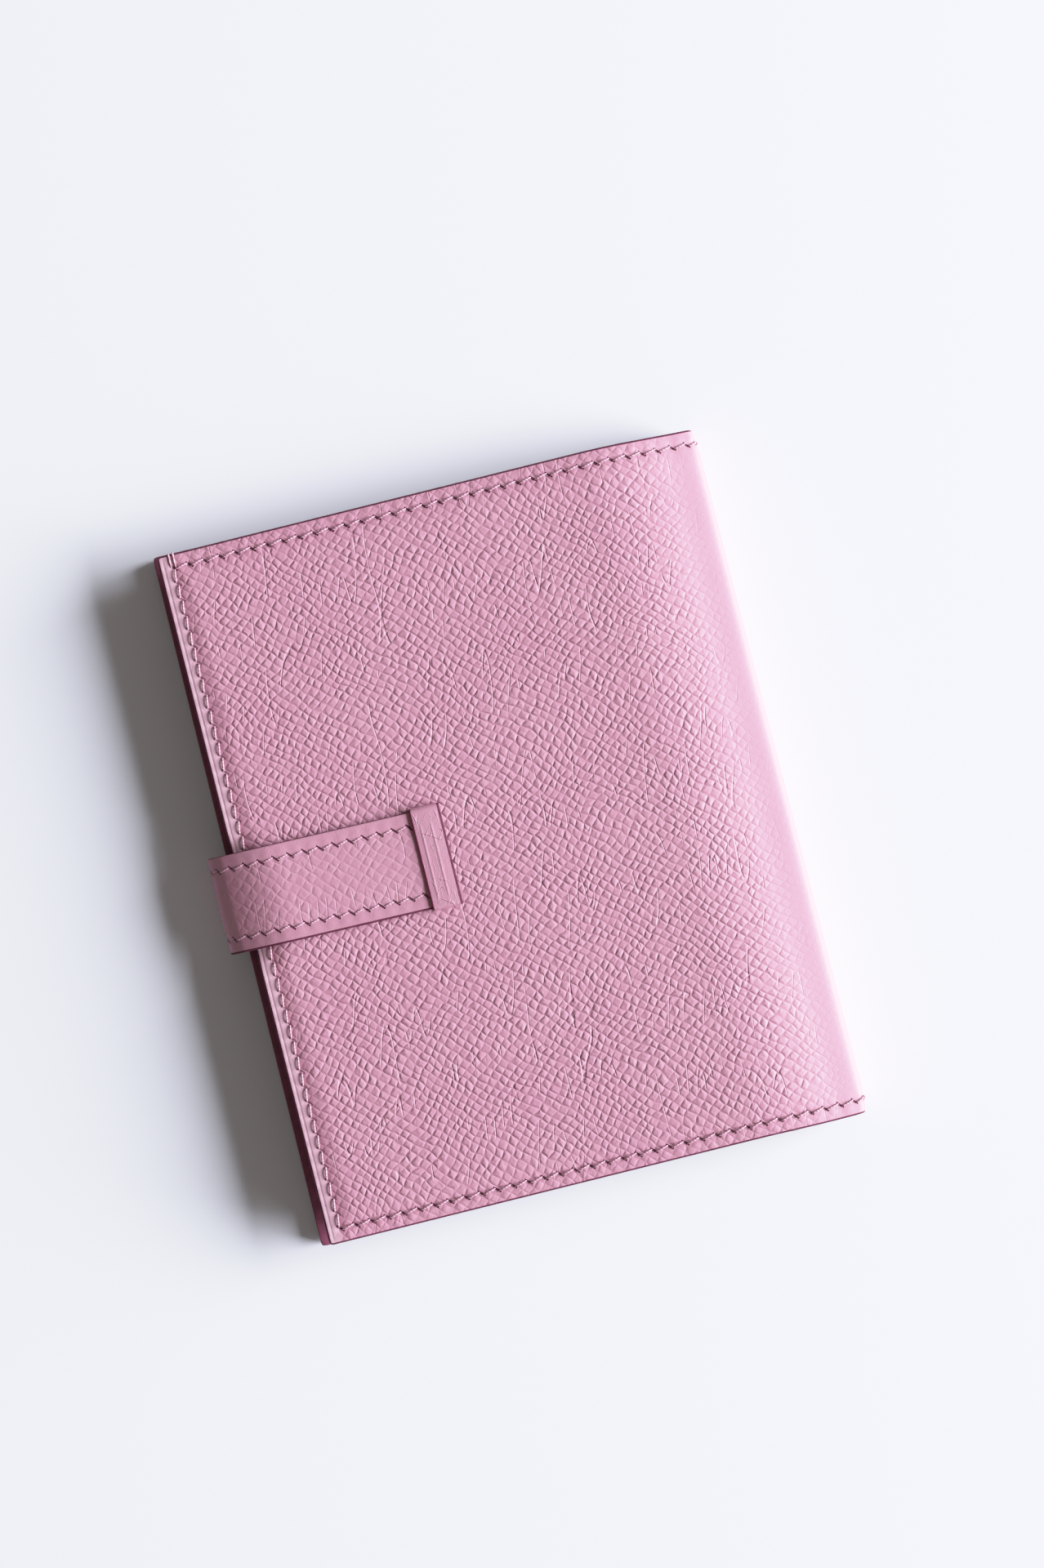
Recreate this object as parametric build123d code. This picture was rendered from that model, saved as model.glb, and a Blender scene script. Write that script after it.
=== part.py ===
from build123d import *
import math
import os

# A passport holder of grained leather, closed and lying on its back cover.
# X runs from the strap's bend to the spine, Y up the cover, Z up from the table.
# The origin is under the middle of the closed holder, on the table. All sizes are in mm.

# ---- driving dimensions ----
COVER_HEIGHT = 136.0        # both covers and the spine, along Y
FRONT_WIDTH = 106.5         # the front cover's open edge to the outside of the spine
BACK_OVERHANG = 2.0         # the back cover reaches this far past the front cover
CLOSED_THICKNESS = 11.8     # outer face to outer face
SPINE_REACH = 13.0          # how much of the width the spine's curve takes
CORNER_RADIUS = 0.8         # the covers' corners at the open edge

OUTER_LEATHER = 1.2
BOARD = 0.7
LINING = 0.5
SLEEVE_LEATHER = 0.6
POCKET_LEATHER = 0.45
MARGIN = 4.4                # the boards stop this far in from the covers' edges
BOARD_SPINE_GAP = 1.5       # and this far short of the spine's curve

SLEEVE_WIDTH = 58.0         # the passport sleeve, from the back cover's open edge
THUMB_RADIUS = 9.0          # the notch in the sleeve's mouth
POCKET_RIGHT_GAP = 3.0      # from the card pockets to the start of the spine's curve
POCKET_TOPS = {"card_pocket_rear": 20.0, "card_pocket_middle": 6.0, "card_pocket_front": -8.0}

STRAP_WIDTH = 19.0
STRAP_LEATHER = 0.9
STRAP_LINING = 0.5
STRAP_BULGE = 3.3           # how far the strap's bend stands out from the back cover's edge
STRAP_ROOT = 14.0           # how far the strap's thinned end runs in between the layers
STRAP_REACH = 39.4          # the strap's flat run over the front cover

KEEPER_OFFSET = 34.9        # the front cover's open edge to the keeper
KEEPER_WIDTH = 5.5
KEEPER_LEATHER = 0.65
KEEPER_HEADROOM = 0.22      # over the strap, for its stitches
KEEPER_SIDE_PLAY = 0.05
KEEPER_FLANGE = 5.0         # the keeper's ends, glued flat under the front leather

STITCH_PITCH = 3.1
STITCH_LENGTH = 2.3
STITCH_WIDTH = 0.55
STITCH_HEIGHT = 0.25
GROOVE_WIDTH = 0.75
GROOVE_DEPTH = 0.3
STITCH_INSET = 3.0          # the open edges' rows
END_STITCH_INSET = 2.8      # the rows along the top and the bottom
STRAP_STITCH_INSET = 2.8
STRAP_STITCH_PITCH = 3.0
STRAP_STITCH_HEIGHT = 0.2
STRAP_STITCH_START = 1.0    # the strap's rows stop this far short of each end of its flat run
POCKET_ROW_INSET = 1.5      # the row that closes the card pockets, from their spine side

# ---- places worked out from them ----
SPINE_X = (FRONT_WIDTH + BACK_OVERHANG + STRAP_BULGE) / 2
FRONT_EDGE = SPINE_X - FRONT_WIDTH
BACK_EDGE = FRONT_EDGE - BACK_OVERHANG
BEND_START = SPINE_X - SPINE_REACH
MID_Z = CLOSED_THICKNESS / 2
HALF_HEIGHT = COVER_HEIGHT / 2

BOARD_DEPTH = OUTER_LEATHER                 # depths are measured in from the outer face
LINING_DEPTH = BOARD_DEPTH + BOARD
INNER_DEPTH = LINING_DEPTH + LINING
SLEEVE_DEPTH = INNER_DEPTH + SLEEVE_LEATHER
SLEEVE_MOUTH = BACK_EDGE + SLEEVE_WIDTH
POCKET_RIGHT = BEND_START - POCKET_RIGHT_GAP
BOARD_RIGHT = BEND_START - BOARD_SPINE_GAP
BOARD_HALF_HEIGHT = HALF_HEIGHT - MARGIN

STRAP_HALF = STRAP_WIDTH / 2
STRAP_THICKNESS = STRAP_LEATHER + STRAP_LINING
STRAP_LOW = BOARD_DEPTH                     # the strap leaves the back cover above its leather
STRAP_TOP = CLOSED_THICKNESS + STRAP_THICKNESS
STRAP_MID_Z = (STRAP_LOW + STRAP_TOP) / 2
STRAP_END = BACK_EDGE + BACK_OVERHANG + STRAP_REACH
KEEPER_LEFT = FRONT_EDGE + KEEPER_OFFSET
KEEPER_UNDER = STRAP_TOP + KEEPER_HEADROOM
KEEPER_LEG = STRAP_HALF + KEEPER_SIDE_PLAY

LEFT_ROW_BACK = BACK_EDGE + STITCH_INSET
LEFT_ROW_FRONT = FRONT_EDGE + STITCH_INSET
END_ROW = HALF_HEIGHT - END_STITCH_INSET
STRAP_ROW = STRAP_HALF - STRAP_STITCH_INSET

FAR = 90.0                  # past the holder on every side
UNDER = -1.0                # just under the holder
OVER = 20.0                 # above everything on it


def block(x0, x1, y0, y1, z0, z1):
    """A box between two corners."""
    middle = ((x0 + x1) / 2, (y0 + y1) / 2, (z0 + z1) / 2)
    return Pos(*middle) * Box(x1 - x0, y1 - y0, z1 - z0)


def extruded(section, half_length):
    """A section drawn in X and Z, extruded both ways along Y."""
    return extrude(Plane.XZ * section, amount=half_length, both=True)


def bend_length(along, up):
    """A quarter ellipse's length, by Ramanujan's formula."""
    return math.pi / 4 * (3 * (along + up) - math.sqrt((3 * along + up) * (along + 3 * up)))


def bend_pivot(along, up):
    """The point about which a quarter turn lays a quarter-ellipse bend's far end out flat.

    It is measured from where the bend starts: along the flat, and up from it.
    """
    length = bend_length(along, up)
    return (along + length - up) / 2, (along - length + up) / 2


SPINE_PIVOT_ALONG, SPINE_PIVOT_UP = bend_pivot(SPINE_REACH, MID_Z)
STRAP_PIVOT_ALONG, STRAP_PIVOT_UP = bend_pivot(STRAP_BULGE, STRAP_MID_Z - STRAP_LOW)
SPINE_PIVOTS = [
    (BEND_START + SPINE_PIVOT_ALONG, SPINE_PIVOT_UP),
    (BEND_START + SPINE_PIVOT_ALONG, CLOSED_THICKNESS - SPINE_PIVOT_UP),
]
STRAP_PIVOTS = [
    (BACK_EDGE - STRAP_PIVOT_ALONG, STRAP_LOW + STRAP_PIVOT_UP),
    (BACK_EDGE - STRAP_PIVOT_ALONG, STRAP_TOP - STRAP_PIVOT_UP),
]


# ---- sections and zones ----
def cover_outline(depth):
    """The closed holder's section, this far in from its outer face and open to the left."""
    flat = Pos((BEND_START - FAR) / 2, MID_Z) * Rectangle(BEND_START + FAR, 2 * (MID_Z - depth))
    curve = Pos(BEND_START, MID_Z) * Ellipse(SPINE_REACH - depth, MID_Z - depth)
    return flat + curve


def cover_layer(outside, inside, half_length=HALF_HEIGHT):
    """A layer of the covers and spine, between two depths."""
    return extruded(cover_outline(outside) - cover_outline(inside), half_length)


def strap_outline(depth):
    """The strap's section round the open edge, this far in from its outer face, open to the right."""
    rise = STRAP_MID_Z - STRAP_LOW - depth
    flat = Pos((BACK_EDGE + FAR) / 2, STRAP_MID_Z) * Rectangle(FAR - BACK_EDGE, 2 * rise)
    curve = Pos(BACK_EDGE, STRAP_MID_Z) * Ellipse(STRAP_BULGE - depth, rise)
    return flat + curve


def strap_layer(outside, inside):
    """A layer of the strap, between two depths."""
    return extruded(strap_outline(outside) - strap_outline(inside), STRAP_HALF)


def split_line(pivot, chord, outward=6.0, inward=12.0):
    """The two ends of the line through a pivot, square to the chord of its bend."""
    size = math.hypot(*chord)
    across = (-chord[1] / size, chord[0] / size)
    return [(pivot[0] + s * across[0], pivot[1] + s * across[1]) for s in (-outward, inward)]


def zone(points):
    """Everything over a polygon drawn in X and Z."""
    return extruded(make_face(Polyline(*points, close=True)), FAR)


def lower_zone(pivot, chord, side):
    """What stays with the back cover: under the middle and on the near side of the lower split."""
    outer, inner = split_line(pivot, chord)
    return zone([(-side * FAR, outer[1]), outer, inner, (-side * FAR, inner[1])])


def mirrored_up(shape, middle):
    """A shape turned upside down about a height."""
    return mirror(shape, about=Plane.XY.offset(middle))


def plan(left):
    """The covers' outline seen from above, with round corners at the open edge."""
    width = FAR - left
    outline = Pos((left + FAR) / 2, 0) * RectangleRounded(width, COVER_HEIGHT, CORNER_RADIUS)
    return extrude(outline, amount=FAR, both=True)


SPINE_CHORD = (SPINE_REACH, MID_Z)
BACK_ZONE = lower_zone(SPINE_PIVOTS[0], SPINE_CHORD, 1) & block(-FAR, FAR, -FAR, FAR, -FAR, MID_Z)
FRONT_ZONE = mirrored_up(BACK_ZONE, MID_Z)
STRAP_CHORD = (STRAP_BULGE, STRAP_LOW - STRAP_MID_Z)


# ---- the covers and spine ----
def grooves():
    """The channels that the stitches lie in: one along each end and one beside each open edge."""
    skin = cover_layer(0, GROOVE_DEPTH, END_ROW + GROOVE_WIDTH / 2)
    ends = skin - block(-FAR, FAR, GROOVE_WIDTH / 2 - END_ROW, END_ROW - GROOVE_WIDTH / 2, UNDER, OVER)
    ends &= block(LEFT_ROW_BACK - GROOVE_WIDTH / 2, FAR, -FAR, FAR, UNDER, OVER)
    side = GROOVE_WIDTH / 2
    back = block(LEFT_ROW_BACK - side, LEFT_ROW_BACK + side, -END_ROW, END_ROW, UNDER, GROOVE_DEPTH)
    low = CLOSED_THICKNESS - GROOVE_DEPTH
    front = block(LEFT_ROW_FRONT - side, LEFT_ROW_FRONT + side, -END_ROW, END_ROW, low, OVER)
    return ends + back + front


def keeper_slits():
    """The two slits in the front leather that the keeper's ends go through."""
    right = KEEPER_LEFT + KEEPER_WIDTH
    leg = block(KEEPER_LEFT, right, KEEPER_LEG, KEEPER_LEG + KEEPER_LEATHER, MID_Z, OVER)
    return leg + mirror(leg, about=Plane.XZ)


def keeper_recesses():
    """Where the keeper's glued ends lie, level with the front board."""
    right = KEEPER_LEFT + KEEPER_WIDTH
    low, high = CLOSED_THICKNESS - LINING_DEPTH, CLOSED_THICKNESS - BOARD_DEPTH
    flange = block(KEEPER_LEFT, right, KEEPER_LEG, KEEPER_LEG + KEEPER_FLANGE, low, high)
    return flange + mirror(flange, about=Plane.XZ)


def strap_slot():
    """The space that the strap's thinned end fills, between the back leather and the lining."""
    right = BACK_EDGE + STRAP_ROOT
    return block(BACK_EDGE - 1, right, -STRAP_HALF, STRAP_HALF, BOARD_DEPTH, LINING_DEPTH)


def board_space(left):
    """Where a board lies in its cover, carried on as a hollow through the spine."""
    return block(left + MARGIN, FAR, -BOARD_HALF_HEIGHT, BOARD_HALF_HEIGHT, UNDER, OVER)


def outer_leather():
    """The one outer hide, cut where the spine folds into its three rigid stretches."""
    hide = cover_layer(0, OUTER_LEATHER) - grooves() - keeper_slits()
    back = hide & BACK_ZONE & plan(BACK_EDGE)
    front = hide & FRONT_ZONE & plan(FRONT_EDGE)
    spine = (hide - BACK_ZONE - FRONT_ZONE) & block(0, FAR, -FAR, FAR, UNDER, OVER)
    return {"back_outer": back, "front_outer": front, "spine_outer": spine}


def inner_lining():
    """The lining, thicker round its edge, where it meets the outer hide without a board between."""
    sheet = cover_layer(BOARD_DEPTH, INNER_DEPTH)
    hollow = cover_layer(BOARD_DEPTH, LINING_DEPTH)
    back = (sheet - (hollow & board_space(BACK_EDGE)) - strap_slot()) & BACK_ZONE & plan(BACK_EDGE)
    front = (sheet - (hollow & board_space(FRONT_EDGE))) & FRONT_ZONE & plan(FRONT_EDGE)
    spine = (sheet - (hollow & board_space(0))) - BACK_ZONE - FRONT_ZONE
    spine &= block(0, FAR, -FAR, FAR, UNDER, OVER)
    return {"back_lining": back, "front_lining": front, "spine_lining": spine}


def boards():
    """The stiffener in each cover."""
    y = BOARD_HALF_HEIGHT
    low, high = CLOSED_THICKNESS - LINING_DEPTH, CLOSED_THICKNESS - BOARD_DEPTH
    back = block(BACK_EDGE + MARGIN, BOARD_RIGHT, -y, y, BOARD_DEPTH, LINING_DEPTH) - strap_slot()
    front = block(FRONT_EDGE + MARGIN, BOARD_RIGHT, -y, y, low, high) - keeper_recesses()
    return {"back_board": back, "front_board": front}


def passport_sleeve():
    """The panel that the passport's back cover slides behind, open towards the spine."""
    panel = block(BACK_EDGE, SLEEVE_MOUTH, -FAR, FAR, INNER_DEPTH, SLEEVE_DEPTH) & plan(BACK_EDGE)
    thumb = Pos(SLEEVE_MOUTH, 0, INNER_DEPTH) * Cylinder(THUMB_RADIUS, 4)
    return panel - thumb


def card_pockets():
    """Three card pockets in a stack on the front cover's lining, each lower than the one behind."""
    pockets = {}
    top = CLOSED_THICKNESS - INNER_DEPTH
    for name, upper_edge in POCKET_TOPS.items():
        panel = block(FRONT_EDGE, POCKET_RIGHT, -FAR, upper_edge, top - POCKET_LEATHER, top)
        pockets[name] = panel & plan(FRONT_EDGE)
        top -= POCKET_LEATHER
    return pockets


# ---- the strap and its keeper ----
def strap():
    """The strap's two layers, cut where its bend opens into a root, a bend and a tip."""
    low_half = block(-FAR, FAR, -FAR, FAR, -FAR, STRAP_MID_Z)
    root_zone = lower_zone(STRAP_PIVOTS[0], STRAP_CHORD, -1) & low_half
    tip_zone = mirrored_up(root_zone, STRAP_MID_Z)
    outside = block(-FAR, BACK_EDGE, -FAR, FAR, UNDER, OVER)
    over = block(-FAR, STRAP_END, -FAR, FAR, STRAP_MID_Z, OVER)
    pieces = {}
    layers = {"strap": (0, STRAP_LEATHER), "strap_lining": (STRAP_LEATHER, STRAP_THICKNESS)}
    for name, depths in layers.items():
        layer = strap_layer(*depths)
        pieces[name + "_root"] = layer & root_zone & outside
        pieces[name + "_bend"] = (layer - root_zone - tip_zone) & outside
        pieces[name + "_tip"] = layer & tip_zone & over
    pieces["strap_root"] += strap_slot() - outside
    return pieces


def keeper():
    """The narrow loop on the front cover, whose ends go through it and are glued flat inside."""
    right = KEEPER_LEFT + KEEPER_WIDTH
    side = KEEPER_LEG + KEEPER_LEATHER
    bridge = block(KEEPER_LEFT, right, -side, side, KEEPER_UNDER, KEEPER_UNDER + KEEPER_LEATHER)
    low = CLOSED_THICKNESS - LINING_DEPTH
    leg = block(KEEPER_LEFT, right, KEEPER_LEG, side, low, KEEPER_UNDER)
    return bridge + leg + mirror(leg, about=Plane.XZ) + keeper_recesses()


# ---- the stitches ----
def spread(start, end, pitch):
    """Middles of as many stitches as fit between two places, evenly spaced."""
    count = max(1, int(abs(end - start) / pitch))
    step = (end - start) / count
    return [start + step * (n + 0.5) for n in range(count)]


def curve_point(turn, depth):
    """A point on the spine's lower curve and the curve's direction there, for a turn from 0 to 180."""
    along, up = SPINE_REACH - depth, MID_Z - depth
    t = math.radians(turn)
    point = (BEND_START + along * math.sin(t), MID_Z - up * math.cos(t))
    return point, math.degrees(math.atan2(up * math.sin(t), along * math.cos(t)))


def curve_turns():
    """The turns at which stitches lie on the spine's curve, one pitch apart along it."""
    turns, travelled, due = [], 0.0, STITCH_PITCH / 2
    last = curve_point(0, 0)[0]
    for tenth in range(1, 1801):
        here = curve_point(tenth / 10, 0)[0]
        travelled += math.dist(last, here)
        last = here
        if travelled >= due:
            turns.append(tenth / 10)
            due += STITCH_PITCH
    return turns


def stitch(x, y, z, along="x", height=STITCH_HEIGHT):
    """One stitch lying flat, with z at its underside."""
    size = (STITCH_LENGTH, STITCH_WIDTH) if along == "x" else (STITCH_WIDTH, STITCH_LENGTH)
    return Pos(x, y, z + height / 2) * Box(*size, height)


def curved_stitch(turn, y):
    """One stitch in the groove where it goes round the spine."""
    (x, z), direction = curve_point(turn, GROOVE_DEPTH - STITCH_HEIGHT / 2)
    return Pos(x, y, z) * Rot(0, -direction, 0) * Box(STITCH_LENGTH, STITCH_WIDTH, STITCH_HEIGHT)


def back_inner_face(x):
    """The height of the back cover's inner face."""
    return SLEEVE_DEPTH if x < SLEEVE_MOUTH else INNER_DEPTH


def front_inner_face(x, y):
    """The height of the front cover's inner face."""
    covering = [top for top in POCKET_TOPS.values() if y < top and x < POCKET_RIGHT]
    return CLOSED_THICKNESS - INNER_DEPTH - POCKET_LEATHER * len(covering)


def near_a_step(value, steps):
    """Would a stitch here straddle the edge of a panel?"""
    return any(abs(value - step) < STITCH_LENGTH / 2 + 0.2 for step in steps)


def cover_stitching():
    """The stitches of the covers' three sewn edges, outside in their grooves and inside."""
    low = GROOVE_DEPTH - STITCH_HEIGHT
    high = CLOSED_THICKNESS - GROOVE_DEPTH
    back, front = [], []
    for y in (-END_ROW, END_ROW):
        for x in spread(LEFT_ROW_BACK + GROOVE_WIDTH, BEND_START, STITCH_PITCH):
            back.append(stitch(x, y, low))
            if not near_a_step(x, [SLEEVE_MOUTH]):
                back.append(stitch(x, y, back_inner_face(x)))
        for x in spread(LEFT_ROW_FRONT + GROOVE_WIDTH, BEND_START, STITCH_PITCH):
            front.append(stitch(x, y, high))
            if not near_a_step(x, [POCKET_RIGHT]):
                front.append(stitch(x, y, front_inner_face(x, y) - STITCH_HEIGHT))
    for y in spread(-END_ROW, END_ROW, STITCH_PITCH):
        back.append(stitch(LEFT_ROW_BACK, y, low, "y"))
        back.append(stitch(LEFT_ROW_BACK, y, SLEEVE_DEPTH, "y"))
        front.append(stitch(LEFT_ROW_FRONT, y, high, "y"))
        if not near_a_step(y, POCKET_TOPS.values()):
            inside = front_inner_face(LEFT_ROW_FRONT, y) - STITCH_HEIGHT
            front.append(stitch(LEFT_ROW_FRONT, y, inside, "y"))
    return back, front


def spine_stitching():
    """The end rows' stitches round the spine, shared out between the three bodies."""
    shares = {"back": [], "spine": [], "front": []}
    for turn in curve_turns():
        x, z = curve_point(turn, 0)[0]
        for y in (-END_ROW, END_ROW):
            bar = curved_stitch(turn, y)
            if (bar & BACK_ZONE).volume > 0.99 * bar.volume:
                shares["back"].append(bar)
            elif (bar & FRONT_ZONE).volume > 0.99 * bar.volume:
                shares["front"].append(bar)
            elif (bar - BACK_ZONE - FRONT_ZONE).volume > 0.99 * bar.volume:
                shares["spine"].append(bar)
    return shares


def pocket_stitching():
    """The row that closes the card pockets on their spine side."""
    rows = []
    row_x = POCKET_RIGHT - POCKET_ROW_INSET
    for y in spread(-END_ROW + STITCH_LENGTH, max(POCKET_TOPS.values()), STITCH_PITCH):
        if not near_a_step(y, POCKET_TOPS.values()):
            face = front_inner_face(row_x, y) - STITCH_HEIGHT
            rows.append(stitch(row_x, y, face, "y"))
    return rows


def strap_stitching():
    """The strap's two rows, on its flat run over the front cover."""
    rows = []
    for y in (-STRAP_ROW, STRAP_ROW):
        start, end = BACK_EDGE + STRAP_STITCH_START, STRAP_END - STRAP_STITCH_START
        for x in spread(start, end, STRAP_STITCH_PITCH):
            rows.append(stitch(x, y, STRAP_TOP, "x", STRAP_STITCH_HEIGHT))
    return rows


def strap_bend_stitching():
    """The rows' stitches on the strap's bend, where it stands upright beside the covers."""
    rows = []
    for y in (-STRAP_ROW, STRAP_ROW):
        bar = Box(STRAP_STITCH_HEIGHT, STITCH_WIDTH, STITCH_LENGTH)
        rows.append(Pos(BACK_EDGE - STRAP_BULGE - STRAP_STITCH_HEIGHT / 2, y, STRAP_MID_Z) * bar)
    return rows


# ---- writing the parts ----
def gather():
    """Every node, by name."""
    nodes = {}
    nodes.update(outer_leather())
    nodes.update(inner_lining())
    nodes.update(boards())
    nodes["passport_sleeve"] = passport_sleeve()
    nodes.update(card_pockets())
    nodes.update(strap())
    nodes["keeper"] = keeper()
    back, front = cover_stitching()
    shares = spine_stitching()
    nodes["back_stitching"] = back + shares["back"]
    nodes["front_stitching"] = front + shares["front"]
    nodes["spine_stitching"] = shares["spine"]
    nodes["pocket_stitching"] = pocket_stitching()
    nodes["strap_tip_stitching"] = strap_stitching()
    nodes["strap_bend_stitching"] = strap_bend_stitching()
    return nodes


def write(name, shape):
    """One node's STEP file, with its solids side by side."""
    shapes = shape if isinstance(shape, list) else [shape]
    solids = [solid for each in shapes for solid in each.solids()]
    node = Compound(label=name, children=solids) if len(solids) > 1 else solids[0]
    node.label = name
    export_step(node, f"parts/{name}.step")


for node_name, node_shape in gather().items():
    write(node_name, node_shape)
print("hinge lines (x, z): spine", SPINE_PIVOTS, "strap", STRAP_PIVOTS)
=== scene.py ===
import math
import bpy
import numpy as np
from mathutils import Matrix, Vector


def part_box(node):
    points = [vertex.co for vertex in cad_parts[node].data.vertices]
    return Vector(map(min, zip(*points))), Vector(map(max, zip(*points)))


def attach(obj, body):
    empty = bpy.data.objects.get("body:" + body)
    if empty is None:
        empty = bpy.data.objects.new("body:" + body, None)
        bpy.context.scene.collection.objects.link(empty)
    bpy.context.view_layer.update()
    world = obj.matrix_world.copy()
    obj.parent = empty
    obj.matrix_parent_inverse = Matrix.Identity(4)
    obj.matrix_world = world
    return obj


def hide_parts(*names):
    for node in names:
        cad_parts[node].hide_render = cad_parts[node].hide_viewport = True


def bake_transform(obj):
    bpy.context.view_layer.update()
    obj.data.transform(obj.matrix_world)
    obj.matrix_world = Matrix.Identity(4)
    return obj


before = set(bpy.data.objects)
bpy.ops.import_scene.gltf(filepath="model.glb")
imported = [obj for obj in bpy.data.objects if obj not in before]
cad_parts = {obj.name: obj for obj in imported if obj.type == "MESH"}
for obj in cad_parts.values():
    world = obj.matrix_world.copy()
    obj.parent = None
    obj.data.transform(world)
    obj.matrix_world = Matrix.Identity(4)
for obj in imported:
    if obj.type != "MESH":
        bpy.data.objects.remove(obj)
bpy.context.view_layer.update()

# A passport holder of grained leather, closed, lying on its back cover. The working unit below is the
# millimetre, and build() turns it into metres. The covers and the strap are laid out as flat hides,
# measured by q along the hide and y across it, and the class Hide rolls them up.

MM = 0.001


def box_mm(node):
    """The lowest and highest corners of a CAD node, in mm."""
    low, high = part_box(node)
    return np.array(low) / MM, np.array(high) / MM


# ---- places taken from the frame ----
FRONT_LOW, FRONT_HIGH = box_mm("front_outer")
BOARD_LOW, BOARD_HIGH = box_mm("back_board")
SLEEVE_LOW, SLEEVE_HIGH = box_mm("passport_sleeve")
KEEPER_LOW, KEEPER_HIGH = box_mm("keeper")
TIP_HIGH = box_mm("strap_tip")[1]
ROOT_END = box_mm("strap_root")[1][0]

BACK_EDGE = box_mm("back_outer")[0][0]
FRONT_EDGE = FRONT_LOW[0]
FRONT_BOARD_END = box_mm("front_board")[1][0]
SPINE_X = box_mm("spine_outer")[1][0]
HALF_HEIGHT = FRONT_HIGH[1]
THICK = FRONT_HIGH[2]
MID_Z = THICK / 2
SPINE_REACH = 13.0  # how much of the width the spine's curve takes
BEND_START = SPINE_X - SPINE_REACH
OUTER = BOARD_LOW[2]  # depths are measured in from the outer face
BOARD_IN = BOARD_HIGH[2]
INNER = SLEEVE_LOW[2]
BOARD_MARGIN = BOARD_LOW[0] - BACK_EDGE
CORNER = 0.8  # the covers' corners at the open edge

STRAP_HALF = TIP_HIGH[1]
STRAP_TOP = TIP_HIGH[2]
STRAP_LOW = OUTER
STRAP_MID = (STRAP_TOP + STRAP_LOW) / 2
STRAP_BULGE = BACK_EDGE - box_mm("strap_bend")[0][0]
STRAP_THICK = STRAP_TOP - THICK
STRAP_LEATHER = STRAP_TOP - box_mm("strap_lining_tip")[1][2]

ROW_INSET = 2.75  # the open edges' stitch rows
END_INSET = 2.8  # the rows along the top and bottom
STRAP_ROW_INSET = 2.8
END_ROW = HALF_HEIGHT - END_INSET
STRAP_ROW = STRAP_HALF - STRAP_ROW_INSET
PITCH = 3.1  # from stitch to stitch
STRAP_PITCH = 2.92
CLEAR = 0.02  # between layers that touch


# ---- node helpers ----
class Field:
    """A number, vector or colour that a node works out. Sums with a number add math nodes."""

    def __init__(self, surface, socket):
        self.surface = surface
        self.socket = socket

    def __add__(self, other):
        return self.surface.calc("ADD", self, other)

    def __sub__(self, other):
        return self.surface.calc("SUBTRACT", self, other)

    def __rsub__(self, other):
        return self.surface.calc("SUBTRACT", other, self)

    def __mul__(self, other):
        return self.surface.calc("MULTIPLY", self, other)

    def __abs__(self):
        return self.surface.calc("ABSOLUTE", self)


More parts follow.
